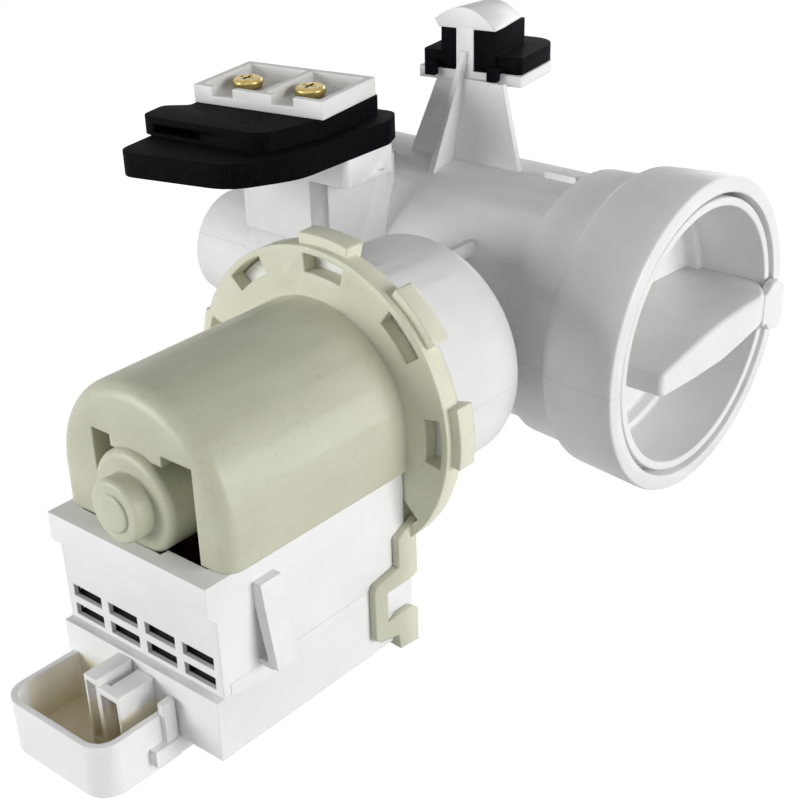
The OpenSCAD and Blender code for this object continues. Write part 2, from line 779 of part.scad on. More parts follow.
// Slanted sill behind each row of windows.
module window_sills() {
    inner = box_w - 2 * box_wall;
    for (row = [0, 1])
        translate([-inner / 2 - 0.2, -34.1 - row * 5.5, box_front - panel_set - box_wall - 0.2]) rotate([90, 0, 90])
            linear_extrude(inner + 0.4) polygon([[0, 0.3], [-1.2, 0.3], [1.4, -4], [2.4, -4]]);
}

// Hollow snap wedge on each side of the lid.
module side_wedges() {
    for (side = [-1, 1]) translate([side * box_w / 2, 0, 134.6]) mirror([side < 0 ? 1 : 0, 0, 0])
        difference() {
            linear_extrude(6.6) polygon([[-0.5, -15.4], [0.2, -15.4], [4.6, -36], [4.6, -37.4], [-0.5, -37.4]]);
            translate([0, 0, 1.2]) linear_extrude(7) polygon([[0, -20.5], [3, -34.8], [3, -36], [0, -36]]);
        }
}

module coil_box_base() {
    inner = box_w - 2 * box_wall;
    color(white) pump_frame() along_motor() {
        difference() {
            union() {
                translate([-box_w / 2, -box_bottom, box_back])
                    cube([box_w, box_bottom - lid_seam - gap, panel - box_back - box_wall - 0.5]);
                translate([-box_w / 2, -box_bottom, panel - box_wall - 1])
                    cube([box_w, box_bottom - shelf_z, panel_set + box_wall + 1]);
                connector_outside();
                // inner rim that locates the lid
                translate([-inner / 2 + 0.1, -lid_seam - 1, box_back + box_wall + 0.1])
                    cube([inner - 0.2, 3, panel - box_back - 2 * box_wall - 4.8]);
            }
            translate([-inner / 2 + 0.9, -box_bottom + box_wall, box_back + box_wall + 0.9])
                cube([inner - 1.8, box_bottom, panel - box_back - 2 * box_wall - 4]);
            // room for the lower sill of the lid
            translate([-inner / 2 - 0.25, -shelf_z - 0.6, panel - 10]) cube([inner + 0.5, 4, 8.4]);
            connector_inside();
        }
        rear_catches();
    }
}

// Catches inside the open loops, and a stiffening bar up each rear edge.
module rear_catches() {
    for (side = [-1, 1]) mirror([side < 0 ? 1 : 0, 0, 0]) {
        translate([box_w / 2, -40.6, flange_z + 7.2]) rotate([90, 0, 0]) linear_extrude(8)
            polygon([[-0.5, 0], [1.5, 5], [1.5, 6.1], [-0.5, 6.1]]);
        translate([box_w / 2 - 4.6, -53, flange_z - 1]) cube([2.2, 14.6, box_back - flange_z + 1.6]);
    }
}

// Cup that takes the plug, open towards the feet.
module connector_outside() {
    translate([shroud_x, -shroud_low, box_front]) rotate([-90, 0, 0])
        corner_plate(-shroud_w / 2, shroud_w / 2, -shroud_d, 1, shroud_h, [0.5, 0.5, 6.5, 6.5]);
    // upright rib and latch bar on the right-hand side
    translate([shroud_x + shroud_w / 2 - 0.5, -57, box_front + 0.6]) cube([2, 11, 3.6]);
    translate([shroud_x + shroud_w / 2 - 0.5, -61.2, box_front - 4]) cube([2.8, 4.4, 12.6]);
}

module connector_inside() {
    translate([shroud_x, -shroud_low + 2, box_front]) rotate([-90, 0, 0])
        corner_plate(-shroud_w / 2 + shroud_t, shroud_w / 2 - shroud_t, -shroud_d + shroud_t, 0, shroud_h,
            [0.5, 0.5, 5, 5]);
}

// Stepped block behind the plug: two open cells, and a keying slot beside the step.
module terminal_block() {
    floor_y = -shroud_low + 2 + gap;
    front = 11.1;
    color(white) pump_frame() along_motor() translate([0, 0, box_front + gap]) difference() {
        translate([-6.8, floor_y, 0]) cube([12, -floor_y - 41.5, front]);
        translate([-2.1, -43.4, -1]) cube([8, 4, front + 2]);
        translate([-2.1, -52, -1]) cube([2, 12, 9.6]);
        translate([-5.9, -60, 1.2]) cube([3, 16.8, front]);
        translate([-0.1 - 1, -60, 1.2]) cube([5.4, 14.8, front]);
    }
}

module terminal_tabs() {
    color(brass) pump_frame() along_motor() for (x = [-4.9, 1.2])
        translate([x, -60, box_front + 3]) cube([0.8, 13.6, 4.8]);
}

module clamp_plate() {
    z0 = rear_seat_z + rear_rubber_h;
    color(white) pump_frame() at_rear_foot() translate([plate_shift - plate_w / 2, plate_front, z0]) difference() {
        cube([plate_w, plate_d, plate_t]);
        // two pockets with notches in the front wall
        translate([2, 2, plate_floor]) cube([19, plate_d - 4, plate_t]);
        translate([23, 2, plate_floor]) cube([plate_w - 25, plate_d - 4, plate_t]);
        for (x = [6.4, 26]) translate([x, -1, plate_floor + 1]) cube([6.6, 4, plate_t]);
        for (x = screw_x)
            translate([x + plate_w / 2 - plate_shift, screw_y - plate_front, -1]) cylinder(r = 2.5, h = 5);
    }
}

module clamp_screw() {
    difference() {
        union() {
            round_ended(screw_head_d / 2, 2.8, 1.2);
            translate([0, 0, -22]) cylinder(r = 1.85, h = 23);
        }
        for (a = [0, 90]) rotate([0, 0, a]) translate([-2.3, -0.5, 1.4]) cube([4.6, 1, 3]);
    }
}

module clamp_screws() {
    color(brass) pump_frame() at_rear_foot() for (x = screw_x)
        translate([x, screw_y, rear_seat_z + rear_rubber_h + plate_floor + gap]) clamp_screw();
}

// Rubber block held by the clamp plate, slotted all round for the machine's bracket.
module rear_foot() {
    h = rear_rubber_h;
    slab = 1.9;
    color(black) pump_frame() at_rear_foot() translate([0, 0, rear_seat_z]) difference() {
        union() {
            outline_plate([[-24.4, -44], [10, -41], [21.8, -26], [27.2, 9], [24.8, 17.2], [-24.8, 17.2]],
                [4.5, 14, 20, 5, 4, 6], flange_h);
            translate([0, 0, flange_h - 1]) corner_plate(-22, 17, -16, 9, h - flange_h, [3, 3, 3, 3]);
            // upper slab: under the clamp plate, and a lip in front of it that runs out to the left
            translate([0, 0, flange_h]) outline_plate([[-27.6, -28.5], [12.4, -29.5], [19.6, -11], [21.4, 14.4], [-21.2, 14.4],
                [-21.2, -15], [-28, -18.5]], [3, 7, 4, 2, 2, 2, 3], h - flange_h);
        }
        // recess in the front face, under the upper slab
        translate([-23.5, -29, flange_h + 0.8]) cube([29, 7, h - flange_h - slab - 0.8]);
        for (x = screw_x) translate([x, screw_y, -1]) cylinder(r = 2, h = h + 2);
    }
}

// Rubber ring held under the domed head of the front post.
module front_foot() {
    color(black) pump_frame() at_front_foot() translate([0, 0, seat_z]) difference() {
        union() {
            corner_plate(-14.6, 15.6, -7.8, 15.2, 4.4, [7, 7, 1.2, 1.2]);
            translate([-8.2, -8.8, 0]) cube([16.4, 17.4, 11.1]);
            for (x = [-12, 7]) {
                translate([x, -11.4, -1.6]) cube([3, 2.35, 3.6]);
                translate([x, -11.4, 0]) cube([3, 4.6, 2]);
            }
        }
        translate([-3.45, -12, -3]) cube([5.3, 19.05, 16]);
    }
}

pump_housing();
filter_cap();
cap_seal();
filter_cage();
motor_housing();
chamber_seal();
stator_core();
core_rivets();
coil_formers();
coil_windings();
coil_box_lid();
coil_box_base();
terminal_block();
terminal_tabs();
thermal_protector();
rotor_magnet();
rotor_shaft();
rotor_driver();
front_bearing();
rear_bearing();
bearing_carrier();
thrust_washers();
impeller();
impeller_cap();
clamp_plate();
clamp_screws();
rear_foot();
front_foot();
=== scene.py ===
import json
import math
import bmesh
import bpy
import numpy as np
from mathutils import Matrix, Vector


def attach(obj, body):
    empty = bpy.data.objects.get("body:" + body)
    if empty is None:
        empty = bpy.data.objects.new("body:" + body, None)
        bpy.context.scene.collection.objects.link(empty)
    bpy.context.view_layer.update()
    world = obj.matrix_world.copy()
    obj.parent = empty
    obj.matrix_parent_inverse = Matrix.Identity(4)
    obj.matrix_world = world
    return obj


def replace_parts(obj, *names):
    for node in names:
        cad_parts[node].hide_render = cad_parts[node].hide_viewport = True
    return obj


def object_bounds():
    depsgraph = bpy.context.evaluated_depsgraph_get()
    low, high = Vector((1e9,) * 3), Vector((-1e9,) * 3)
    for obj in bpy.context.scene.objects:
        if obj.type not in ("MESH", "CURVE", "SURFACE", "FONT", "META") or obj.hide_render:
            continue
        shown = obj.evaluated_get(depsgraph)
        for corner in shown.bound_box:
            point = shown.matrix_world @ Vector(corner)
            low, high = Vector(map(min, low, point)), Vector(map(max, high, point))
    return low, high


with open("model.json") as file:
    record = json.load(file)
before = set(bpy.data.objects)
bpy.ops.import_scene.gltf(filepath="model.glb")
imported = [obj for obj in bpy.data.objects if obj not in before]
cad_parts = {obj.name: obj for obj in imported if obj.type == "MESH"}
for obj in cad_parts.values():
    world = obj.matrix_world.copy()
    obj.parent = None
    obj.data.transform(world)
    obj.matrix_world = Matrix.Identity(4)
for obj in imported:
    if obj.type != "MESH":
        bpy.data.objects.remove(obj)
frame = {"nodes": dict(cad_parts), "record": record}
nodes = frame["nodes"]
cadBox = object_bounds()
print("frame loaded:", len(nodes), "nodes")

mm = 0.001
mouthToSeat = np.array([-75.7, 6.0, 59.7])      # the seat of the front foot, from the mouth's centre, in mm


def levelAt(height):
    # a height in mm in the pump's own frame as metres in the shared one
    return (height - mouthToSeat[2]) * mm


class Field:
    # a value inside a material; plain arithmetic on it adds the nodes

    def __init__(self, tree, socket):
        self.tree = tree
        self.socket = socket

    def wire(self, target, value):
        if isinstance(value, Field):
            self.tree.links.new(value.socket, target)
        elif value is not None:
            target.default_value = value

    def node(self, kind, inputs=None, output=0, **settings):
        # any other node: its inputs by name or number, its settings as keywords
        made = self.tree.nodes.new(kind)
        for name, value in settings.items():
            setattr(made, name, value)
        for name, value in (inputs or {}).items():
            self.wire(made.inputs[name], value)
        return Field(self.tree, made.outputs[output])

    def maths(self, operation, *values):
        return self.node("ShaderNodeMath", dict(enumerate(values)), operation=operation)

    def __add__(self, other): return self.maths("ADD", self, other)
    def __radd__(self, other): return self.maths("ADD", other, self)
    def __sub__(self, other): return self.maths("SUBTRACT", self, other)
    def __rsub__(self, other): return self.maths("SUBTRACT", other, self)
    def __mul__(self, other): return self.maths("MULTIPLY", self, other)
    def __rmul__(self, other): return self.maths("MULTIPLY", other, self)
    def __truediv__(self, other): return self.maths("DIVIDE", self, other)
    def __pow__(self, other): return self.maths("POWER", self, other)
    def __neg__(self): return self.maths("MULTIPLY", self, -1.0)
    def fract(self): return self.maths("FRACT", self)
    def absolute(self): return self.maths("ABSOLUTE", self)
    def cosine(self): return self.maths("COSINE", self)
    def most(self, other): return self.maths("MAXIMUM", self, other)
    def least(self, other): return self.maths("MINIMUM", self, other)

    def band(self, low, high, start=0.0, end=1.0):
        # smooth step: start below low, end above high
        return self.node("ShaderNodeMapRange", {0: self, 1: low, 2: high, 3: start, 4: end},
                         interpolation_type="SMOOTHSTEP")

    def tint(self, first, second):
        # colour between first (at 0) and second (at 1)
        return self.node("ShaderNodeMix", {0: self, 6: first, 7: second}, output=2, data_type="RGBA")

    def grain(self, size, detail=3.0, rough=0.5, stretch=(1, 1, 1)):
        # noise with features of about that size in mm; self is a position
        moved = self.node("ShaderNodeMapping", {0: self, 3: tuple(s / (size * mm) for s in stretch)})
        return self.node("ShaderNodeTexNoise", {"Vector": moved, "Scale": 1.0, "Detail": detail,
                                                "Roughness": rough})

    def part(self, index):
        return self.node("ShaderNodeSeparateXYZ", {0: self}, output=index)


def rgb(r, g, b):
    return (r, g, b, 1.0)


def newMaterial(name, paint, **constants):
    # paint(place) gives a dictionary of varying sockets; constants go straight on the shader
    material = bpy.data.materials.new(name)
    material.use_nodes = True
    tree = material.node_tree
    shader = tree.nodes["Principled BSDF"]
    place = Field(tree, tree.nodes.new("ShaderNodeTexCoord").outputs["Object"])
    for socket, value in constants.items():
        shader.inputs[socket.replace("_", " ")].default_value = value
    made = paint(place)
    height, depth = made.pop("height", None), made.pop("depth", 0.0)
    edge = made.pop("edge", None)
    for socket, value in made.items():
        place.wire(shader.inputs[socket], value)
    normal = None
    if edge:
        normal = place.node("ShaderNodeBevel", {"Radius": edge * mm}, samples=6)
    if height is not None:
        normal = place.node("ShaderNodeBump", {"Height": height, "Distance": depth * mm, "Strength": 1.0,
                                               "Normal": normal})
    if normal is not None:
        place.wire(shader.inputs["Normal"], normal)
    return material


# size of each mark in mm, and the depth of the whole relief in mm
plasticMarks = {"clouds": 26, "fine": 0.5, "rubs": 9, "specks": 0.9, "scuffs": 3.5, "depth": 0.012}
nylonMarks = {"clouds": 22, "streaks": 7, "specks": 0.8, "pits": 1.6, "depth": 0.02}


def mouldedPlastic(light, dark, rough, edge):
    # satin moulding: cloudy colour, a fine spark-eroded grain, rub marks and a few grey specks and scuffs
    def paint(place):
        size = plasticMarks
        clouds = place.grain(size["clouds"], 3, 0.55)
        fine = place.grain(size["fine"], 2, 0.6)
        rubs = place.grain(size["rubs"], 4, 0.7, (1, 1, 0.25)).band(0.56, 0.72)
        specks = place.grain(size["specks"], 1, 0.5).band(0.74, 0.80)
        scuffs = place.grain(size["scuffs"], 5, 0.75, (0.3, 1, 1)).band(0.60, 0.74)
        worn = (clouds.band(0.3, 0.7) + 0.5 * specks + 0.55 * scuffs * rubs).least(1.6)
        return {"Base Color": worn.tint(light, dark),
                "Roughness": rough + 0.10 * clouds + 0.08 * rubs,
                "height": fine + 1.5 * clouds - 0.8 * specks, "depth": size["depth"], "edge": edge}
    return paint


# hairline where the two halves of the housing's mould met: its level and reach to each side in mm in the pump's
# own frame, its grey, how much of that shows, and its depth next to the plastic's grain
partingLine = {"level": -1.6, "reach": 0.16, "grey": rgb(0.30, 0.30, 0.30), "shows": 0.28, "depth": 3.0}


def housingPlastic(look):
    # the moulding with its parting line along the tube, the volute and the socket
    def paint(place):
        made = mouldedPlastic(*look)(place)
        off = (place.part(2) - levelAt(partingLine["level"])).absolute()
        line = off.band(0.0, partingLine["reach"] * mm, 1.0, 0.0)
        made["Base Color"] = (line * partingLine["shows"]).tint(made["Base Color"], partingLine["grey"])
        made["height"] = made["height"] - partingLine["depth"] * line
        return made
    return paint


# the plug's cup and the room inside the coil box, in mm in the pump's own frame: middle, half width and half
# depth of the opening, radius of its corners, lowest and highest level, and the stretch the colour fades over
# the cup's brown stain, the painted shade it darkens to at its floor and the size of its blotches; the box's
# painted shade, near black
plugCup = {"middle": (-61.2, -163.5), "half": (16.8, 13.5), "corner": 7.0, "levels": (-62.7, -49.3),
           "fade": 0.3, "stain": rgb(0.86, 0.82, 0.68), "cupFloorShade": rgb(0.66, 0.58, 0.38), "blotch": 5}
boxRoom = {"middle": (-54.2, -119.9), "half": (25.1, 31.8), "corner": 0.5, "levels": (-55.6, -11.9),
           "fade": 0.3, "paintedShade": rgb(0.006, 0.006, 0.007)}


def withinRoom(place, room):
    # 1 inside an upright room and 0 outside. Distance to a rounded rectangle: the length of what sticks out
    # past its straight sides, less the corner's radius
    outside = []
    for axis in range(2):
        middle = (room["middle"][axis] - mouthToSeat[axis]) * mm
        reach = (place.part(axis) - middle).absolute() - (room["half"][axis] - room["corner"]) * mm
        outside.append(reach.most(0.0))
    apart = (outside[0] * outside[0] + outside[1] * outside[1]) ** 0.5
    low, high = map(levelAt, room["levels"])
    level = place.part(2)
    inner = (room["corner"] * mm - apart).least((level - low).least(high - level))
    return inner.band(0.0, room["fade"] * mm)


def boxPlastic(look, cup):
    # bright white outside, and painted shade, near black, on the walls inside the box; a brown stain inside the
    # cup, with painted shade that darkens it towards its floor
    def paint(place):
        made = mouldedPlastic(*look)(place)
        # painted shade: the walls inside the box turn near black
        colour = withinRoom(place, boxRoom).tint(made["Base Color"], boxRoom["paintedShade"])
        if cup:
            low, high = map(levelAt, plugCup["levels"])
            # painted shade: the cup's brown stain darkens towards its floor
            stainAndShade = place.part(2).band(low, high).tint(plugCup["cupFloorShade"], plugCup["stain"])
            blotches = place.grain(plugCup["blotch"], 4, 0.6).band(0.3, 0.7, 0.8, 1.0)
            colour = (withinRoom(place, plugCup) * blotches).tint(colour, stainAndShade)
        made["Base Color"] = colour
        return made
    return paint


# painted light: where the motor housing is thin its colour turns paler for the light shining through, from its arch
# to its ring, in mm along the motor
thinNylonGlow = {"solid": -96.0, "thin": -84.0, "pale": rgb(0.80, 0.79, 0.64)}


def mottledNylon(light, dark, rough, edge):
    # natural nylon: broad faint clouds, darker flow streaks along the motor, tiny specks and pits,
    # and painted light that turns it paler towards the thin ring and clips, for the light shining through
    def paint(place):
        size = nylonMarks
        clouds = place.grain(size["clouds"], 3, 0.5, (1, 0.5, 1))
        streaks = place.grain(size["streaks"], 4, 0.65, (1, 0.3, 1)).band(0.5, 0.75)
        specks = place.grain(size["specks"], 2, 0.7)
        pits = place.grain(size["pits"], 1, 0.5).band(0.66, 0.72)
        mix = (0.5 * clouds.band(0.3, 0.7) + 0.3 * streaks + 0.25 * specks + 0.2 * pits).least(1.0)
        ends = [(thinNylonGlow[key] - mouthToSeat[1]) * mm for key in ("solid", "thin")]
        # painted light: paler where the nylon is thin and light shines through
        thin = place.part(1).band(ends[0], ends[1]) * (1.0 - 0.35 * mix)
        return {"Base Color": thin.tint(mix.tint(light, dark), thinNylonGlow["pale"]),
                "Roughness": rough + 0.14 * specks + 0.06 * streaks,
                "height": specks + 2.0 * clouds - 1.2 * pits, "depth": size["depth"], "edge": edge}
    return paint


def mouldedRubber(place):
    # black with a dusty bloom, duller where it was rubbed, and a fine grain
    dust = place.grain(2.2, 5, 0.7)
    fine = place.grain(0.45, 2, 0.6)
    return {"Base Color": dust.band(0.42, 0.75).tint(rgb(0.0022, 0.0022, 0.0036), rgb(0.006, 0.006, 0.008)),
            "Roughness": 0.46 + 0.30 * dust, "height": fine + dust, "depth": 0.04, "edge": 0.7}


def platedZinc(place):
    # yellow passivated zinc: clouded colour and fine drawn marks
    bloom = place.grain(1.6, 3, 0.6)
    marks = place.grain(0.5, 3, 0.6, (1, 1, 0.3))
    return {"Base Color": bloom.band(0.35, 0.7).tint(rgb(0.56, 0.43, 0.15), rgb(0.40, 0.31, 0.13)),
            "Roughness": 0.16 + 0.2 * marks, "height": marks, "depth": 0.01, "edge": 0.25}


def metalPaint(light, dark, rough):
    # stained patches and fine lines across
    def paint(place):
        stain = place.grain(3.0, 4, 0.6)
        lines = place.grain(0.6, 2, 0.5, (1, 0.1, 1))
        return {"Base Color": stain.band(0.35, 0.7).tint(light, dark), "Roughness": rough + 0.2 * lines,
                "height": lines, "depth": 0.01, "edge": 0.2}
    return paint


# thickness of a lamination and pitch of the wire's turns, in mm
sheetThick, turnPitch = 0.5, 0.35


def stackedSheets(place):
    # laminations: a dark line at every sheet along the motor's axis
    sheet = (place.part(1) / (sheetThick * mm)).fract()
    line = (sheet - 0.5).absolute().band(0.36, 0.48)
    rust = place.grain(3, 4, 0.6)
    return {"Base Color": line.tint(rgb(0.060, 0.058, 0.060), rgb(0.012, 0.012, 0.013)),
            "Roughness": 0.45 + 0.3 * rust, "height": -line, "depth": 0.1}


def woundWire(place):
    # round turns stacked along the arm; the copper is darkened nearly to black as painted shade for the hollow that
    # the coil sits in
    turn = (place.part(2) / (turnPitch * mm)).fract()
    crown = ((turn - 0.5) * math.pi).cosine()
    tone = place.grain(2.0, 3, 0.6)
    # painted shade: both copper colours are darkened nearly to black
    return {"Base Color": tone.band(0.3, 0.7).tint(rgb(0.10, 0.034, 0.013), rgb(0.05, 0.018, 0.008)),
            "Roughness": 0.28 + 0.2 * tone, "height": crown, "depth": 0.12}


# colour, colour of the darker or stained parts, roughness, and for plastics the shaded edge's width in mm
plastics = {"white_plastic": (rgb(0.86, 0.86, 0.85), rgb(0.80, 0.80, 0.79), 0.34, 0.5),
            "coil_plastic": (rgb(0.030, 0.029, 0.028), rgb(0.022, 0.021, 0.021), 0.5, 0.2),
            "impeller_plastic": (rgb(0.30, 0.32, 0.33), rgb(0.25, 0.26, 0.27), 0.5, 0.3),
            "black_plastic": (rgb(0.02, 0.02, 0.022), rgb(0.03, 0.03, 0.032), 0.45, 0.2),
            "carbon": (rgb(0.04, 0.04, 0.04), rgb(0.03, 0.03, 0.03), 0.5, 0.2)}
metals = {"terminal_brass": (rgb(0.78, 0.70, 0.50), rgb(0.62, 0.54, 0.38), 0.25),
          "stainless": (rgb(0.62, 0.62, 0.63), rgb(0.5, 0.5, 0.51), 0.25),
          "plain_steel": (rgb(0.5, 0.5, 0.51), rgb(0.36, 0.35, 0.34), 0.35)}
ferriteLook = (rgb(0.06, 0.06, 0.065), rgb(0.035, 0.035, 0.04), 0.5)
nylonLook = (rgb(0.60, 0.60, 0.475), rgb(0.49, 0.49, 0.37), 0.32, 0.8)
boxLook = (rgb(0.90, 0.90, 0.90), rgb(0.85, 0.85, 0.85), 0.38, 0.3)
housingLook = (rgb(0.86, 0.86, 0.855), rgb(0.79, 0.79, 0.79), 0.34, 0.5)

finishes = {slot: newMaterial(slot, mouldedPlastic(*look)) for slot, look in plastics.items()}
finishes.update({slot: newMaterial(slot, metalPaint(*look), Metallic=1.0) for slot, look in metals.items()})
finishes.update({
    "ferrite": newMaterial("ferrite", metalPaint(*ferriteLook)),
    "box_plastic": newMaterial("coil_box_lid", boxPlastic(boxLook, False)),
    "ivory_plastic": newMaterial("ivory_plastic", mottledNylon(*nylonLook), Subsurface_Weight=0.2,
                                 Subsurface_Radius=(1.0, 0.95, 0.6), Subsurface_Scale=4 * mm),
    "black_rubber": newMaterial("black_rubber", mouldedRubber, Specular_IOR_Level=0.03),
    "yellow_zinc": newMaterial("yellow_zinc", platedZinc, Metallic=1.0),
    "lamination_steel": newMaterial("lamination_steel", stackedSheets, Metallic=1.0),
    "copper_wire": newMaterial("copper_wire", woundWire, Metallic=1.0)})
print("finishes made:", len(finishes))

slotOf = {s["node"]: s["material_slot"] for s in frame["record"]["subparts"]}
bodyOf = {node: body for body, members in frame["record"]["behaviour"]["bodies"].items() for node in members}
finishOf = {name: finishes[slotOf[name]] for name in nodes}
finishOf["pump_housing"] = newMaterial("pump_housing", housingPlastic(housingLook))
finishOf["coil_box_base"] = newMaterial("coil_box_base", boxPlastic(boxLook, True))
finishOf["terminal_block"] = finishOf["coil_box_base"]
for name, node in nodes.items():
    node.data.materials.clear()
    node.data.materials.append(finishOf[name])


# rounded edges in the mesh itself: node, width of the rounding in mm, steps across it
softEdges = {"rear_foot": (1.6, 4), "front_foot": (0.9, 3), "clamp_plate": (0.45, 3), "terminal_block": (0.3, 2),
             "coil_box_lid": (0.45, 3), "coil_box_base": (0.5, 3), "motor_housing": (0.8, 3),
             "pump_housing": (0.45, 2)}
# points closer than weld (mm) are merged, faces within flat (degrees) become one, edges over sharp are rounded
rolling = {"weld": 0.002, "flat": 0.6, "sharp": 38}

# blocks joined onto copies of nodes, in mm in the pump's own frame: outline in x and z, and the stretch in y.
# Motor housing: its left leg thicker inwards and the web over the can flush with the end face.
# Lid: the snap wedge on each side stands out further, with a ledge on top
tailEnd, wedgeEnds = -148.8, (-141.3, -134.5)
joinedBlocks = {
    "motor_housing": [([(-73.8, -9.95), (-67.9, -9.95), (-67.9, 15.0), (-73.8, 15.0)], (tailEnd, tailEnd + 22.5)),
                      ([(-61.7, 11.4), (-44.8, 11.4), (-44.8, 15.0), (-61.7, 15.0)], (tailEnd, tailEnd + 5.0))],
    "coil_box_lid": [([(-27.8, -15.9), (-23.4, -36.9), (-21.0, -36.9), (-24.8, -15.0), (-27.8, -15.0)], wedgeEnds),
                     ([(-80.6, -15.9), (-80.6, -15.0), (-83.6, -15.0), (-87.4, -36.9), (-85.0, -36.9)], wedgeEnds)]}
# the dome on the motor's nose: its axis, end face, radius and the slack in finding its points, how far they
# spread from the axis, and the share of its height that is kept
flatDome = {"axisX": -54.2, "noseEnd": -156.3, "tipRadius": 3.6, "within": 0.02, "spread": 1.4, "height": 0.3}


def prismMesh(outline, stretch):
    # the outline, anticlockwise seen from the tail, at both ends of the stretch, with a face for each side
    n = len(outline)
    x, z = np.array(outline).T
    spots = np.concatenate([np.stack([x, np.full(n, y), z], -1) for y in stretch])
    faces = [list(range(n)), list(range(2 * n - 1, n - 1, -1))]
    faces += [(i, i + n, (i + 1) % n + n, (i + 1) % n) for i in range(n)]
    mesh = bpy.data.meshes.new("block")
    mesh.from_pydata(((spots - mouthToSeat) * mm).tolist(), [], faces)
    return mesh


def meshSpots(mesh):
    flat = np.empty(len(mesh.vertices) * 3, np.float32)
    mesh.vertices.foreach_get("co", flat)
    return flat.reshape(-1, 3).astype(float)


def flattenDome(mesh):
    # the tip's points move outwards from the motor's axis and down towards the nose
    d = flatDome
    spots = meshSpots(mesh) / mm + mouthToSeat
    side = spots[:, [0, 2]] - (d["axisX"], 0)
    tip = (np.hypot(side[:, 0], side[:, 1]) < d["tipRadius"]) & (spots[:, 1] < d["noseEnd"] + d["within"])
    spots[np.ix_(tip, [0, 2])] = side[tip] * d["spread"] + (d["axisX"], 0)
    spots[tip, 1] = d["noseEnd"] + (spots[tip, 1] - d["noseEnd"]) * d["height"]
    mesh.vertices.foreach_set("co", ((spots - mouthToSeat) * mm).ravel())


def withBlocks(mesh, blocks):
    # one closed mesh of a node's copy and its blocks
    whole = bpy.data.objects.new("whole", mesh)
    things = [whole] + [bpy.data.objects.new("block", prismMesh(*block)) for block in blocks]
    for thing in things:
        bpy.context.scene.collection.objects.link(thing)
    for block in things[1:]:
        join = whole.modifiers.new("join", "BOOLEAN")
        join.operation = "UNION"
        join.solver = "EXACT"
        join.object = block
    joined = bpy.data.meshes.new_from_object(whole.evaluated_get(bpy.context.evaluated_depsgraph_get()))
    print("blocks joined:", len(blocks), "faces:", len(mesh.polygons), "->", len(joined.polygons))
    for thing in things:
        bpy.data.objects.remove(thing)
    return joined


def softenedCopy(name, width, steps):
    # the node's own shape with every sharp edge rolled over an arc of that width
    shape = bmesh.new()
    shape.from_mesh(nodes[name].data)
    bmesh.ops.remove_doubles(shape, verts=shape.verts, dist=rolling["weld"] * mm)
    if name in joinedBlocks:
        merged = bpy.data.meshes.new("merged")
        shape.to_mesh(merged)
        shape.clear()
        if name == "motor_housing":
            flattenDome(merged)
        shape.from_mesh(withBlocks(merged, joinedBlocks[name]))
        bmesh.ops.remove_doubles(shape, verts=shape.verts, dist=rolling["weld"] * mm)
    bmesh.ops.dissolve_limit(shape, angle_limit=math.radians(rolling["flat"]), verts=shape.verts,
                             edges=shape.edges)
    mesh = bpy.data.meshes.new("soft_" + name)
    shape.to_mesh(mesh)
    shape.free()
    piece = bpy.data.objects.new("soft_" + name, mesh)
    bpy.context.scene.collection.objects.link(piece)
    roll = piece.modifiers.new("roll", "BEVEL")
    roll.width = width * mm
    roll.segments = steps
    roll.limit_method = "ANGLE"
    roll.angle_limit = math.radians(rolling["sharp"])
    roll.harden_normals = True
    mesh.materials.append(finishOf[name])
    mesh.polygons.foreach_set("use_smooth", np.ones(len(mesh.polygons), bool))
    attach(piece, bodyOf[name])
    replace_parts(piece, name)


for name, (width, steps) in softEdges.items():
    softenedCopy(name, width, steps)
print("edges rounded:", len(softEdges))

# the screw cap, in mm in the pump's own frame: a turned cup and plug, a grip across it, a pointer and two
# threads. Profile: place along the tube, radius and rounding of each corner, from the hook's socket forwards
screwCap = {"profile": [(-28, 0, 0), (-28, 20, 0.3), (-32.5, 20, 0.3), (-32.5, 30.8, 0.5), (-30.6, 30.8, 0.2),
                        (-30.6, 29.3, 0.2), (-27.6, 29.3, 0.2), (-27.6, 30.8, 0.2), (-25.5, 30.8, 0.6),
                        (-25.5, 35.9, 0.4), (-3, 35.9, 0.2), (-3, 36.8, 0.3), (0.4, 36.8, 0.45), (0.4, 34.5, 0.45),
                        (-19.5, 34.5, 0.9), (-19.5, 32.5, 0.5), (-23.5, 32.5, 1.4), (-23.5, 0, 0)],
            "round": 128, "cornerSteps": 5, "gripSteps": 80, "gripEndSteps": 8, "bendSteps": 6, "blendSteps": 9,
            "plateCornerSteps": 4, "threadSteps": 28, "threadAcross": 14,
            "gripTop": [(-25, -0.7), (-20.1, 0.4), (-10.7, 2.1), (-2.9, 3.2), (5.1, 4.0), (17.6, 4.2), (29, 3.7),
                        (36, 3.5)],
            "gripUnder": [(-25, -7.1), (-22.5, -7.2), (-9.2, -7.9), (5.6, -8.0), (16.5, -6.5), (27.6, -4.7),
                          (36, -4.2)],
            "gripFront": [(-25, 5), (26, 5), (36, -1.3)], "gripBack": -24.0, "gripFrom": -25.2,
            "gripReach": 34.7, "gripEndRound": 1.6, "gripEdge": 1.3, "gripBlend": 1.6,
            "pointer": [(29, -6.6), (31.3, -6.8), (33, -9), (38, -10.2), (39.4, -9.2), (40, -5), (40, -2.9),
                        (38.4, -2.9), (38.4, -2), (39.9, -2), (39.8, 1.5), (38.8, 3.7), (35.6, 5.1), (33, 4.7),
                        (31.5, 3.4), (29, 2.4)],
            "pointerSizes": {"radius": 0.45, "start": 1.05, "thick": 2.8, "edge": 0.45},
            "neck": [(29.5, -6.2), (35.7, -6.2), (35.7, 1.8), (29.5, 1.8)],
            "neckSizes": {"radius": 0.5, "start": -0.5, "thick": 2.55, "edge": 0.3},
            "threadFrom": -18.0, "threadLong": 13.0, "threadTurn": 117.0, "threadWide": 50.0,
            "threadStart": 155.0, "threadIn": 35.5, "threadOut": 37.6}


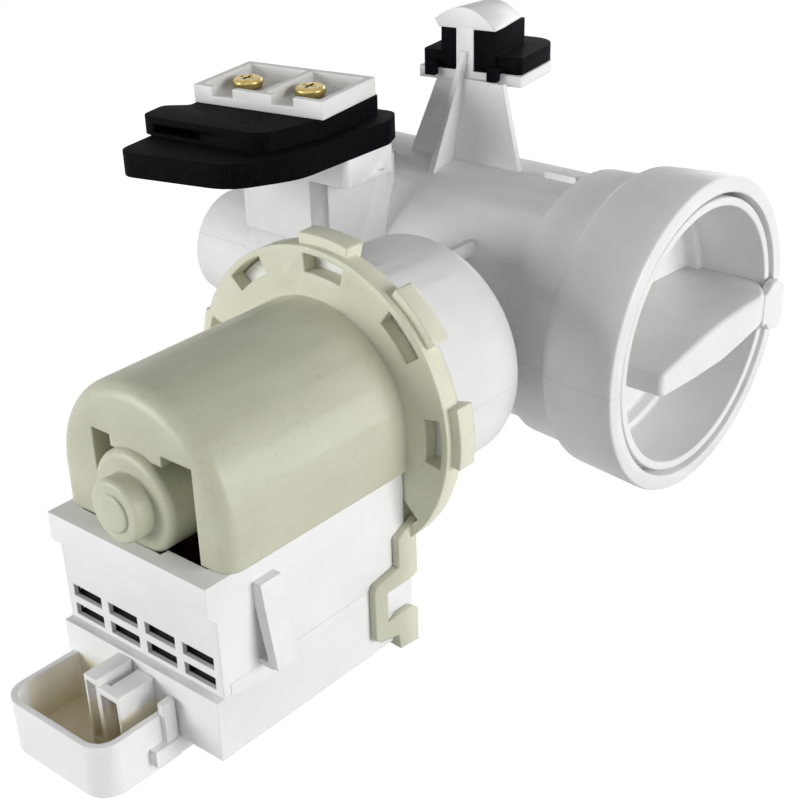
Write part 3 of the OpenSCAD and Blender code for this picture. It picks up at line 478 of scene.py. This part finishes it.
def roundedCorners(points, radii, steps, closed=True):
    # each corner becomes an arc: from the tangent point on one side to that on the other, centre + r * direction,
    # its angle shared out evenly
    points, radii = np.array(points, float), np.array(radii, float)
    before, after = np.roll(points, 1, axis=0), np.roll(points, -1, axis=0)
    if not closed:
        radii[0] = radii[-1] = 0.0
        before[0], after[-1] = points[0] - (points[1] - points[0]), points[-1] + (points[-1] - points[-2])
    back, ahead = before - points, after - points
    back /= np.linalg.norm(back, axis=1)[:, None]
    ahead /= np.linalg.norm(ahead, axis=1)[:, None]
    half = np.arccos(np.clip((back * ahead).sum(axis=1), -0.99999, 0.99999)) / 2
    inward = back + ahead
    inward /= np.maximum(np.linalg.norm(inward, axis=1), 1e-9)[:, None]
    centre = points + inward * (radii / np.sin(half))[:, None]
    first, last = (points + side * (radii / np.tan(half))[:, None] - centre for side in (back, ahead))
    sweep = np.pi - 2 * half
    share = np.linspace(0, 1, steps + 1)[None, :]
    swing = np.maximum(np.sin(sweep), 1e-6)[:, None]
    one, two = np.sin(sweep[:, None] * (1 - share)) / swing, np.sin(sweep[:, None] * share) / swing
    arcs = centre[:, None, :] + one[:, :, None] * first[:, None, :] + two[:, :, None] * last[:, None, :]
    keep = np.ones(arcs.shape[:2], bool)
    keep[radii <= 0, 1:] = False
    return arcs[keep]


def ringFaces(rings, around, closedEnds):
    # faces between rings of points that follow each other, and a flat cap at each end
    row, col = np.meshgrid(np.arange(rings - 1), np.arange(around), indexing="ij")
    here, beside = row * around + col, row * around + (col + 1) % around
    faces = np.stack([here, beside, beside + around, here + around], axis=-1).reshape(-1, 4).tolist()
    if closedEnds:
        last = (rings - 1) * around
        faces += [list(range(around))[::-1], list(range(last, last + around))]
    return faces


def turnedCup():
    # the profile turned about the tube's axis: (x, r cos t, r sin t); its first and last points are the poles
    profile = roundedCorners([p[:2] for p in screwCap["profile"]], [p[2] for p in screwCap["profile"]],
                             screwCap["cornerSteps"], closed=False)
    turn = np.linspace(0, 2 * math.pi, screwCap["round"], endpoint=False)
    x, r = profile[1:-1, 0], profile[1:-1, 1]
    rings = [np.repeat(x[:, None], len(turn), axis=1), r[:, None] * np.cos(turn), r[:, None] * np.sin(turn)]
    verts = np.stack(rings, axis=-1).reshape(-1, 3)
    faces = ringFaces(len(x), len(turn), False)
    count, around = len(verts), len(turn)
    poles = np.array([[profile[0, 0], 0, 0], [profile[-1, 0], 0, 0]])
    col = np.arange(around)
    lastRing = (len(x) - 1) * around
    faces += np.stack([np.full(around, count), (col + 1) % around, col], axis=-1).tolist()
    faces += np.stack([np.full(around, count + 1), lastRing + col, lastRing + (col + 1) % around], axis=-1).tolist()
    return np.concatenate([verts, poles]), faces


def smoothed(knots, across, blend):
    # straight lines through the knots, averaged over a stretch of that length so that each bend is rounded
    spots, values = np.array(knots).T
    offsets = np.linspace(-blend, blend, screwCap["blendSteps"])
    return np.interp(across[:, None] + offsets[None, :], spots, values).mean(axis=1)


def capGrip():
    # rounded sections carried across the cup: x = front(y) or back, z = between under(y) and top(y);
    # the free end is rounded over a quarter of a circle, so near it all three draw in
    start, reach, rounding = (screwCap[key] for key in ("gripFrom", "gripReach", "gripEndRound"))
    turn = np.linspace(0, math.pi / 2, screwCap["gripEndSteps"])
    across = np.concatenate([start + rounding * (1 - np.cos(turn)),
                             np.linspace(start + rounding, reach, screwCap["gripSteps"])[1:]])
    drawIn = rounding * (1 - np.sqrt(1 - np.clip(1 - (across - start) / rounding, 0, 1) ** 2))
    top, under, front = (smoothed(screwCap[key], across, screwCap["gripBlend"]) + sign * drawIn
                         for key, sign in (("gripTop", -1), ("gripUnder", 1), ("gripFront", -1)))
    edge = np.minimum(screwCap["gripEdge"], (top - under) / 2.2)[:, None]
    back = np.full_like(across, screwCap["gripBack"])
    bend = np.linspace(0, math.pi / 2, screwCap["bendSteps"])
    cosine, sine = edge * (1 - np.cos(bend)), edge * (1 - np.sin(bend))
    low = np.stack([front[:, None] - sine, under[:, None] + cosine], -1)
    high = np.stack([front[:, None] - cosine, top[:, None] - sine], -1)
    section = np.concatenate([np.stack([back, under], -1)[:, None], low, high, np.stack([back, top], -1)[:, None]],
                             axis=1)
    wall = np.sqrt(reach ** 2 - section[:, :, 1] ** 2) / reach
    verts = np.stack([section[:, :, 0], across[:, None] * wall, section[:, :, 1]], axis=-1)
    return verts.reshape(-1, 3), ringFaces(len(across), section.shape[1], True)


def raisedPlate(outline, radius, start, thick, edge):
    # an outline in y and z, with rounded corners, drawn out along x with rounded edges:
    # each level is the outline moved in along its normals by edge * (1 - sin)
    shape = roundedCorners(outline, [radius] * len(outline), screwCap["plateCornerSteps"])
    shape = shape[np.linalg.norm(shape - np.roll(shape, 1, axis=0), axis=1) > 1e-4]
    along = np.roll(shape, -1, axis=0) - np.roll(shape, 1, axis=0)
    inward = np.stack([-along[:, 1], along[:, 0]], axis=-1) / np.linalg.norm(along, axis=1)[:, None]
    bend = np.linspace(0, math.pi / 2, screwCap["plateCornerSteps"])
    depth = np.concatenate([edge * (1 - np.cos(bend)), thick - edge * (1 - np.cos(bend[::-1]))])
    inset = np.concatenate([edge * (1 - np.sin(bend)), edge * (1 - np.sin(bend[::-1]))])
    flat = shape[None] + inset[:, None, None] * inward[None]
    x = np.repeat((start + depth)[:, None], len(shape), axis=1)
    return np.concatenate([x[..., None], flat], axis=-1).reshape(-1, 3), ringFaces(len(depth), len(shape), True)


def capThread(turned):
    # a bent bar on a helix: angle = start + width + turn * share, radius between the inner and outer one
    share = np.linspace(0, 1, screwCap["threadSteps"])
    wide = np.radians(np.linspace(0, screwCap["threadWide"], screwCap["threadAcross"]))
    angle = np.concatenate([wide, wide[::-1]])
    radius = np.repeat([screwCap["threadOut"], screwCap["threadIn"]], len(wide))
    start, turn = math.radians(screwCap["threadStart"] + turned), math.radians(screwCap["threadTurn"])
    whole = start + angle[None, :] + turn * share[:, None]
    x = np.repeat((screwCap["threadFrom"] + screwCap["threadLong"] * share)[:, None], len(angle), axis=1)
    verts = np.stack([x, radius * np.sin(whole), -radius * np.cos(whole)], axis=-1)
    return verts.reshape(-1, 3), ringFaces(len(share), len(angle), True)


def outwards(part):
    # turns the faces round where the part's volume comes out negative, and moves it into the shared frame
    verts, faces = part
    fan = np.array([(f[0], f[i], f[i + 1]) for f in faces for i in range(1, len(f) - 1)])
    corner = verts[fan]
    if np.einsum("ij,ij->i", corner[:, 0], np.cross(corner[:, 1], corner[:, 2])).sum() < 0:
        faces = [face[::-1] for face in faces]
    return (verts - mouthToSeat) * mm, faces


# enamelled wire on the two formers
coilWire = {"thickness": 0.5, "gap": 0.02, "bluntness": 0.28, "stepsRound": 8, "stepsAlong": 44}


def tubeAlong(points, across, up, radius, steps):
    # circle of that radius carried along the points: centre + radius * (cos t * across + sin t * up),
    # with a flat cap at each end; it turns from up back to across, so that the faces point outwards
    turn = np.linspace(0, -2 * math.pi, steps, endpoint=False)
    ring = np.cos(turn)[None, :, None] * across[:, None, :] + np.sin(turn)[None, :, None] * up[:, None, :]
    verts = (points[:, None, :] + radius * ring).reshape(-1, 3)
    return verts, ringFaces(len(points), steps, True)


def woundCoil(low, high):
    # one layer of turns round a rounded rectangle: the angle t runs on, and the height rises by one
    # wire for each turn; x = half width, y = half depth, both drawn in by the superellipse |cos|^p, |sin|^p
    middle, half = (low + high) / 2, (high - low) / 2 - coilWire["thickness"] * mm / 2
    pitch = (coilWire["thickness"] + coilWire["gap"]) * mm
    turns = math.floor(2 * half[2] / pitch)
    t = np.linspace(0, 2 * math.pi * turns, turns * coilWire["stepsAlong"] + 1)
    blunt = coilWire["bluntness"]
    c, s = np.cos(t), np.sin(t)
    x = half[0] * np.sign(c) * np.abs(c) ** blunt
    y = half[1] * np.sign(s) * np.abs(s) ** blunt
    z = low[2] + pitch / 2 + pitch * t / (2 * math.pi)
    points = np.stack([middle[0] + x, middle[1] + y, z], axis=-1)
    outward = np.stack([x / half[0], y / half[1], np.zeros_like(x)], axis=-1)
    outward /= np.linalg.norm(outward, axis=1)[:, None]
    up = np.tile([0.0, 0.0, 1.0], (len(t), 1))
    return tubeAlong(points, outward, up, coilWire["thickness"] * mm / 2, coilWire["stepsRound"])


def newPiece(name, parts, slot, body):
    # parts is a list of points and faces; they become one mesh
    allVerts, allFaces, start = [], [], 0
    for verts, faces in parts:
        allVerts.append(verts)
        allFaces += [[i + start for i in face] for face in faces]
        start += len(verts)
    mesh = bpy.data.meshes.new(name)
    mesh.from_pydata(np.concatenate(allVerts).tolist(), [], allFaces)
    mesh.polygons.foreach_set("use_smooth", np.array([len(f) == 4 for f in allFaces], bool))
    mesh.materials.append(finishes[slot])
    piece = bpy.data.objects.new(name, mesh)
    bpy.context.scene.collection.objects.link(piece)
    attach(piece, body)
    return piece


def buildCoils():
    spots = meshSpots(nodes["coil_windings"].data)
    middle = (spots[:, 0].min() + spots[:, 0].max()) / 2
    sides = (spots[spots[:, 0] < middle], spots[spots[:, 0] > middle])
    parts = [woundCoil(side.min(axis=0), side.max(axis=0)) for side in sides]
    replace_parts(newPiece("wound_wire", parts, "copper_wire", bodyOf["coil_windings"]), "coil_windings")


buildCoils()
print("coils wound")


def buildCap():
    parts = [turnedCup(), capGrip(), capThread(0), capThread(180),
             raisedPlate(screwCap["pointer"], **screwCap["pointerSizes"]),
             raisedPlate(screwCap["neck"], **screwCap["neckSizes"])]
    cap = newPiece("screw_cap", [outwards(part) for part in parts], slotOf["filter_cap"], bodyOf["filter_cap"])
    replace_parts(cap, "filter_cap")


buildCap()
print("cap made")


# floor and background, in metres: how far the floor lies under the pump, its size, and the distances from the
# middle between which it turns white. Levels are such that 1 shows a colour as written. The lamps aim at target
studio = {"floorDrop": 0.4 * mm, "floorSize": 8.0, "floorColour": rgb(0.74, 0.74, 0.74), "floorRough": 0.9,
          "floorGloss": 0.1, "floorGlow": 0.72, "floorFade": (0.3, 1.0), "background": 1.0, "skyLight": 0.13,
          "target": (0.0, -0.06, -0.05)}
# azimuth from the motor's tail towards the mouth and elevation in degrees, distance and size in metres, and
# the level that a lamp gives a surface that faces it
lamps = {"right": {"azimuth": 100, "elevation": 9, "distance": 1.3, "size": 0.8, "level": 0.78},
         "left": {"azimuth": -32, "elevation": 9, "distance": 1.3, "size": 0.8, "level": 0.76},
         "back": {"azimuth": 185, "elevation": 7, "distance": 1.3, "size": 0.9, "level": 0.34},
         "front": {"azimuth": 35, "elevation": 35, "distance": 1.5, "size": 1.0, "level": 0.06}}


def onlyForCamera(tree, lit, plain):
    # plain where the camera, a reflection or glass sees it, lit for the light that it gives
    path = tree.nodes.new("ShaderNodeLightPath")
    seen = Field(tree, path.outputs["Is Camera Ray"]).most(Field(tree, path.outputs["Is Glossy Ray"]))
    seen = seen.most(Field(tree, path.outputs["Is Transmission Ray"]))
    mix = tree.nodes.new("ShaderNodeMixShader")
    tree.links.new(seen.socket, mix.inputs[0])
    tree.links.new(lit, mix.inputs[1])
    tree.links.new(plain, mix.inputs[2])
    return mix.outputs[0]


def backgroundLight(tree, strength):
    light = tree.nodes.new("ShaderNodeBackground")
    light.inputs[0].default_value = rgb(1.0, 1.0, 1.0)
    light.inputs[1].default_value = strength
    return light.outputs[0]


def buildWorld():
    world = bpy.data.worlds.new("studio")
    world.use_nodes = True
    tree = world.node_tree
    tree.nodes.clear()
    dim, white = (backgroundLight(tree, studio[key]) for key in ("skyLight", "background"))
    out = tree.nodes.new("ShaderNodeOutputWorld")
    tree.links.new(onlyForCamera(tree, dim, white), out.inputs[0])
    bpy.context.scene.world = world


def emission(tree, strength):
    light = tree.nodes.new("ShaderNodeEmission")
    light.inputs["Strength"].default_value = strength
    return light.outputs[0]


def buildFloor(height):
    # pale and matt, with the shadow; the camera and reflections get some white on top of it,
    # and far out it turns into the plain white of the background
    half = studio["floorSize"] / 2
    mesh = bpy.data.meshes.new("floor")
    mesh.from_pydata([(-half, -half, height), (half, -half, height), (half, half, height),
                      (-half, half, height)], [], [(0, 1, 2, 3)])
    floor = bpy.data.objects.new("floor", mesh)
    bpy.context.scene.collection.objects.link(floor)
    material = bpy.data.materials.new("floor")
    material.use_nodes = True
    tree = material.node_tree
    shader = tree.nodes["Principled BSDF"]
    shader.inputs["Base Color"].default_value = studio["floorColour"]
    shader.inputs["Roughness"].default_value = studio["floorRough"]
    shader.inputs["Specular IOR Level"].default_value = studio["floorGloss"]
    both = tree.nodes.new("ShaderNodeAddShader")
    tree.links.new(shader.outputs[0], both.inputs[0])
    tree.links.new(emission(tree, studio["floorGlow"]), both.inputs[1])
    place = Field(tree, tree.nodes.new("ShaderNodeTexCoord").outputs["Object"])
    away = (place.part(0) * place.part(0) + place.part(1) * place.part(1)) ** 0.5
    fade = tree.nodes.new("ShaderNodeMixShader")
    tree.links.new(away.band(*studio["floorFade"]).socket, fade.inputs[0])
    tree.links.new(both.outputs[0], fade.inputs[1])
    tree.links.new(emission(tree, studio["background"]), fade.inputs[2])
    tree.links.new(onlyForCamera(tree, shader.outputs[0], fade.outputs[0]),
                   tree.nodes["Material Output"].inputs[0])
    mesh.materials.append(material)


def placedMatrix(side, up, away, spot):
    # a camera's or lamp's place: its own axes and its spot as columns
    return Matrix([[side[i], up[i], away[i], spot[i]] for i in range(3)] + [[0, 0, 0, 1]])


def buildLamp(name, azimuth, elevation, distance, size, level):
    # a soft round lamp; its power gives a surface facing it that level: power = level * (pi * distance)^2
    az, el = math.radians(azimuth), math.radians(elevation)
    away = np.array([math.sin(az) * math.cos(el), -math.cos(az) * math.cos(el), math.sin(el)])
    spot = np.array(studio["target"]) + distance * away
    lamp = bpy.data.lights.new(name, "AREA")
    lamp.shape = "DISK"
    lamp.size = size
    lamp.energy = level * (math.pi * distance) ** 2
    holder = bpy.data.objects.new(name, lamp)
    bpy.context.scene.collection.objects.link(holder)
    side = np.cross((0, 0, 1), away)
    side = side / np.linalg.norm(side)
    holder.matrix_world = placedMatrix(side, np.cross(away, side), away, spot)


# the photograph's camera, from the pump's fitted circles and planes: angles in degrees, focal length and centre
# in pixels of an image 800 by 800, and its spot in mm in the pump's own frame
view = {"azimuth": 44.0, "elevation": 31.1, "roll": -3.2, "focal": 1514.1, "centre": (326.0, 517.6),
        "spot": (180.41, -331.57, 170.18), "image": 800, "sensor": 36.0, "nearest": 0.01}


def buildCamera():
    az, el, roll = (math.radians(view[k]) for k in ("azimuth", "elevation", "roll"))
    forward = np.array([-math.sin(az) * math.cos(el), math.cos(az) * math.cos(el), -math.sin(el)])
    right = np.array([math.cos(az), math.sin(az), 0.0])
    up = np.cross(right, forward)
    turnedRight = math.cos(roll) * right + math.sin(roll) * up
    turnedUp = -math.sin(roll) * right + math.cos(roll) * up
    data = bpy.data.cameras.new("camera")
    data.sensor_width = view["sensor"]
    data.lens = view["focal"] / view["image"] * view["sensor"]
    data.shift_x = (view["image"] / 2 - view["centre"][0]) / view["image"]
    data.shift_y = (view["centre"][1] - view["image"] / 2) / view["image"]
    data.clip_start = view["nearest"]
    camera = bpy.data.objects.new("camera", data)
    bpy.context.scene.collection.objects.link(camera)
    spot = (np.array(view["spot"]) - mouthToSeat) * mm
    camera.matrix_world = placedMatrix(turnedRight, turnedUp, -forward, spot)
    bpy.context.scene.camera = camera


buildWorld()
buildFloor(cadBox[0][2] - studio["floorDrop"])
for lampName, lampValues in lamps.items():
    buildLamp(lampName, **lampValues)
buildCamera()
bpy.context.scene.view_settings.view_transform = "Standard"
print("studio ready")
